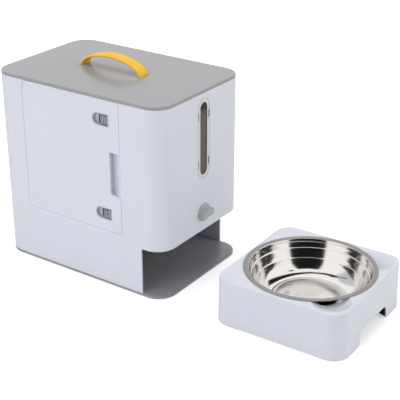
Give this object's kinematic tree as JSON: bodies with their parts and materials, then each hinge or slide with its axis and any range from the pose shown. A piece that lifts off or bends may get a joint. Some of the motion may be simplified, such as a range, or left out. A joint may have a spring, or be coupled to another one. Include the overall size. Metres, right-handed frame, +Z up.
{
  "type": "pet feeding station",
  "caption": "Gravity feeder cabinet with lift-off lid, side service door, sight window and turning dispenser knob over an open bay, plus a separate tray holding a steel bowl.",
  "frame": {"origin": "on the floor, at the middle of the length and width of the cabinet and tray together", "axes": "+Z up, +Y from the bowl tray in front towards the back of the cabinet, -X the side with the service door"},
  "size_m": [0.252, 0.7304, 0.3935],
  "materials": {
    "white_plastic": "satin",
    "lid_plastic": "satin",
    "base_plastic": "satin",
    "liner_plastic": "satin",
    "grey_plastic": "satin",
    "paddle_plastic": "matt",
    "bezel_plastic": "satin",
    "lens_plastic": "clear, smoked",
    "hopper_plastic": "satin",
    "bush_plastic": "matt",
    "strap_rubber": "soft matt",
    "gasket_rubber": "matt",
    "foot_rubber": "matt",
    "screw_steel": "plated",
    "bowl_steel": "polished, finely brushed in rings"
  },
  "bodies": {
    "cabinet": {"base_plate": "base_plastic", "cabinet_foot_front_left": "foot_rubber", "cabinet_foot_front_right": "foot_rubber", "cabinet_foot_rear_left": "foot_rubber", "cabinet_foot_rear_right": "foot_rubber", "base_screw_side_left": "screw_steel", "base_screw_side_right": "screw_steel", "base_screw_rear_left": "screw_steel", "base_screw_rear_right": "screw_steel", "body_shell": "white_plastic", "bay_liner": "liner_plastic", "window_bezel": "bezel_plastic", "window_lens": "lens_plastic", "food_hopper": "hopper_plastic", "dispenser_drum": "grey_plastic", "drum_cap": "grey_plastic", "axle_bush": "bush_plastic", "hinge_pin_lower": "screw_steel", "hinge_pin_upper": "screw_steel", "latch_keeper_post": "grey_plastic"},
    "lid_assembly": {"lid": "lid_plastic", "lid_gasket": "gasket_rubber", "handle_strap": "strap_rubber", "handle_clamp_front": "grey_plastic", "handle_clamp_rear": "grey_plastic", "handle_screw_front_left": "screw_steel", "handle_screw_front_right": "screw_steel", "handle_screw_rear_left": "screw_steel", "handle_screw_rear_right": "screw_steel"},
    "door_assembly": {"side_door": "white_plastic", "latch_housing_upper": "grey_plastic", "latch_housing_lower": "grey_plastic"},
    "upper_latch": {"latch_slider_upper": "grey_plastic"},
    "lower_latch": {"latch_slider_lower": "grey_plastic"},
    "dispenser_rotor": {"paddle_wheel": "paddle_plastic", "dispenser_knob": "grey_plastic", "dispenser_axle": "screw_steel", "axle_clip": "screw_steel"},
    "tray": {"tray_shell": "white_plastic", "tray_foot_front_left": "foot_rubber", "tray_foot_front_right": "foot_rubber", "tray_foot_rear_left": "foot_rubber", "tray_foot_rear_right": "foot_rubber"},
    "feeding_bowl": {"bowl": "bowl_steel"}
  },
  "joints": [
    {"name": "lid_lift", "type": "slide", "parent": "cabinet", "child": "lid_assembly", "axis": [0, 0, 1], "range_m": [0, 0.12]},
    {"name": "door_swing", "type": "hinge", "parent": "cabinet", "child": "door_assembly", "pos_m": [-0.1245, 0.29467, 0.229], "axis": [0, 0, -1], "range_deg": [0, 95]},
    {"name": "upper_latch_slide", "type": "slide", "parent": "door_assembly", "child": "upper_latch", "axis": [0, 1, 0], "range_m": [0, 0.009]},
    {"name": "lower_latch_slide", "type": "slide", "parent": "door_assembly", "child": "lower_latch", "axis": [0, 1, 0], "range_m": [0, 0.009]},
    {"name": "dispenser_turn", "type": "hinge", "parent": "cabinet", "child": "dispenser_rotor", "pos_m": [0, 0.02517, 0.1318], "axis": [0, 1, 0], "continuous": true},
    {"name": "tray_slide", "type": "slide", "parent": "cabinet", "child": "tray", "axis": [0, 1, 0], "range_m": [0, 0.095]},
    {"name": "bowl_lift", "type": "slide", "parent": "tray", "child": "feeding_bowl", "axis": [0, 0, 1], "range_m": [0, 0.15]}
  ]
}
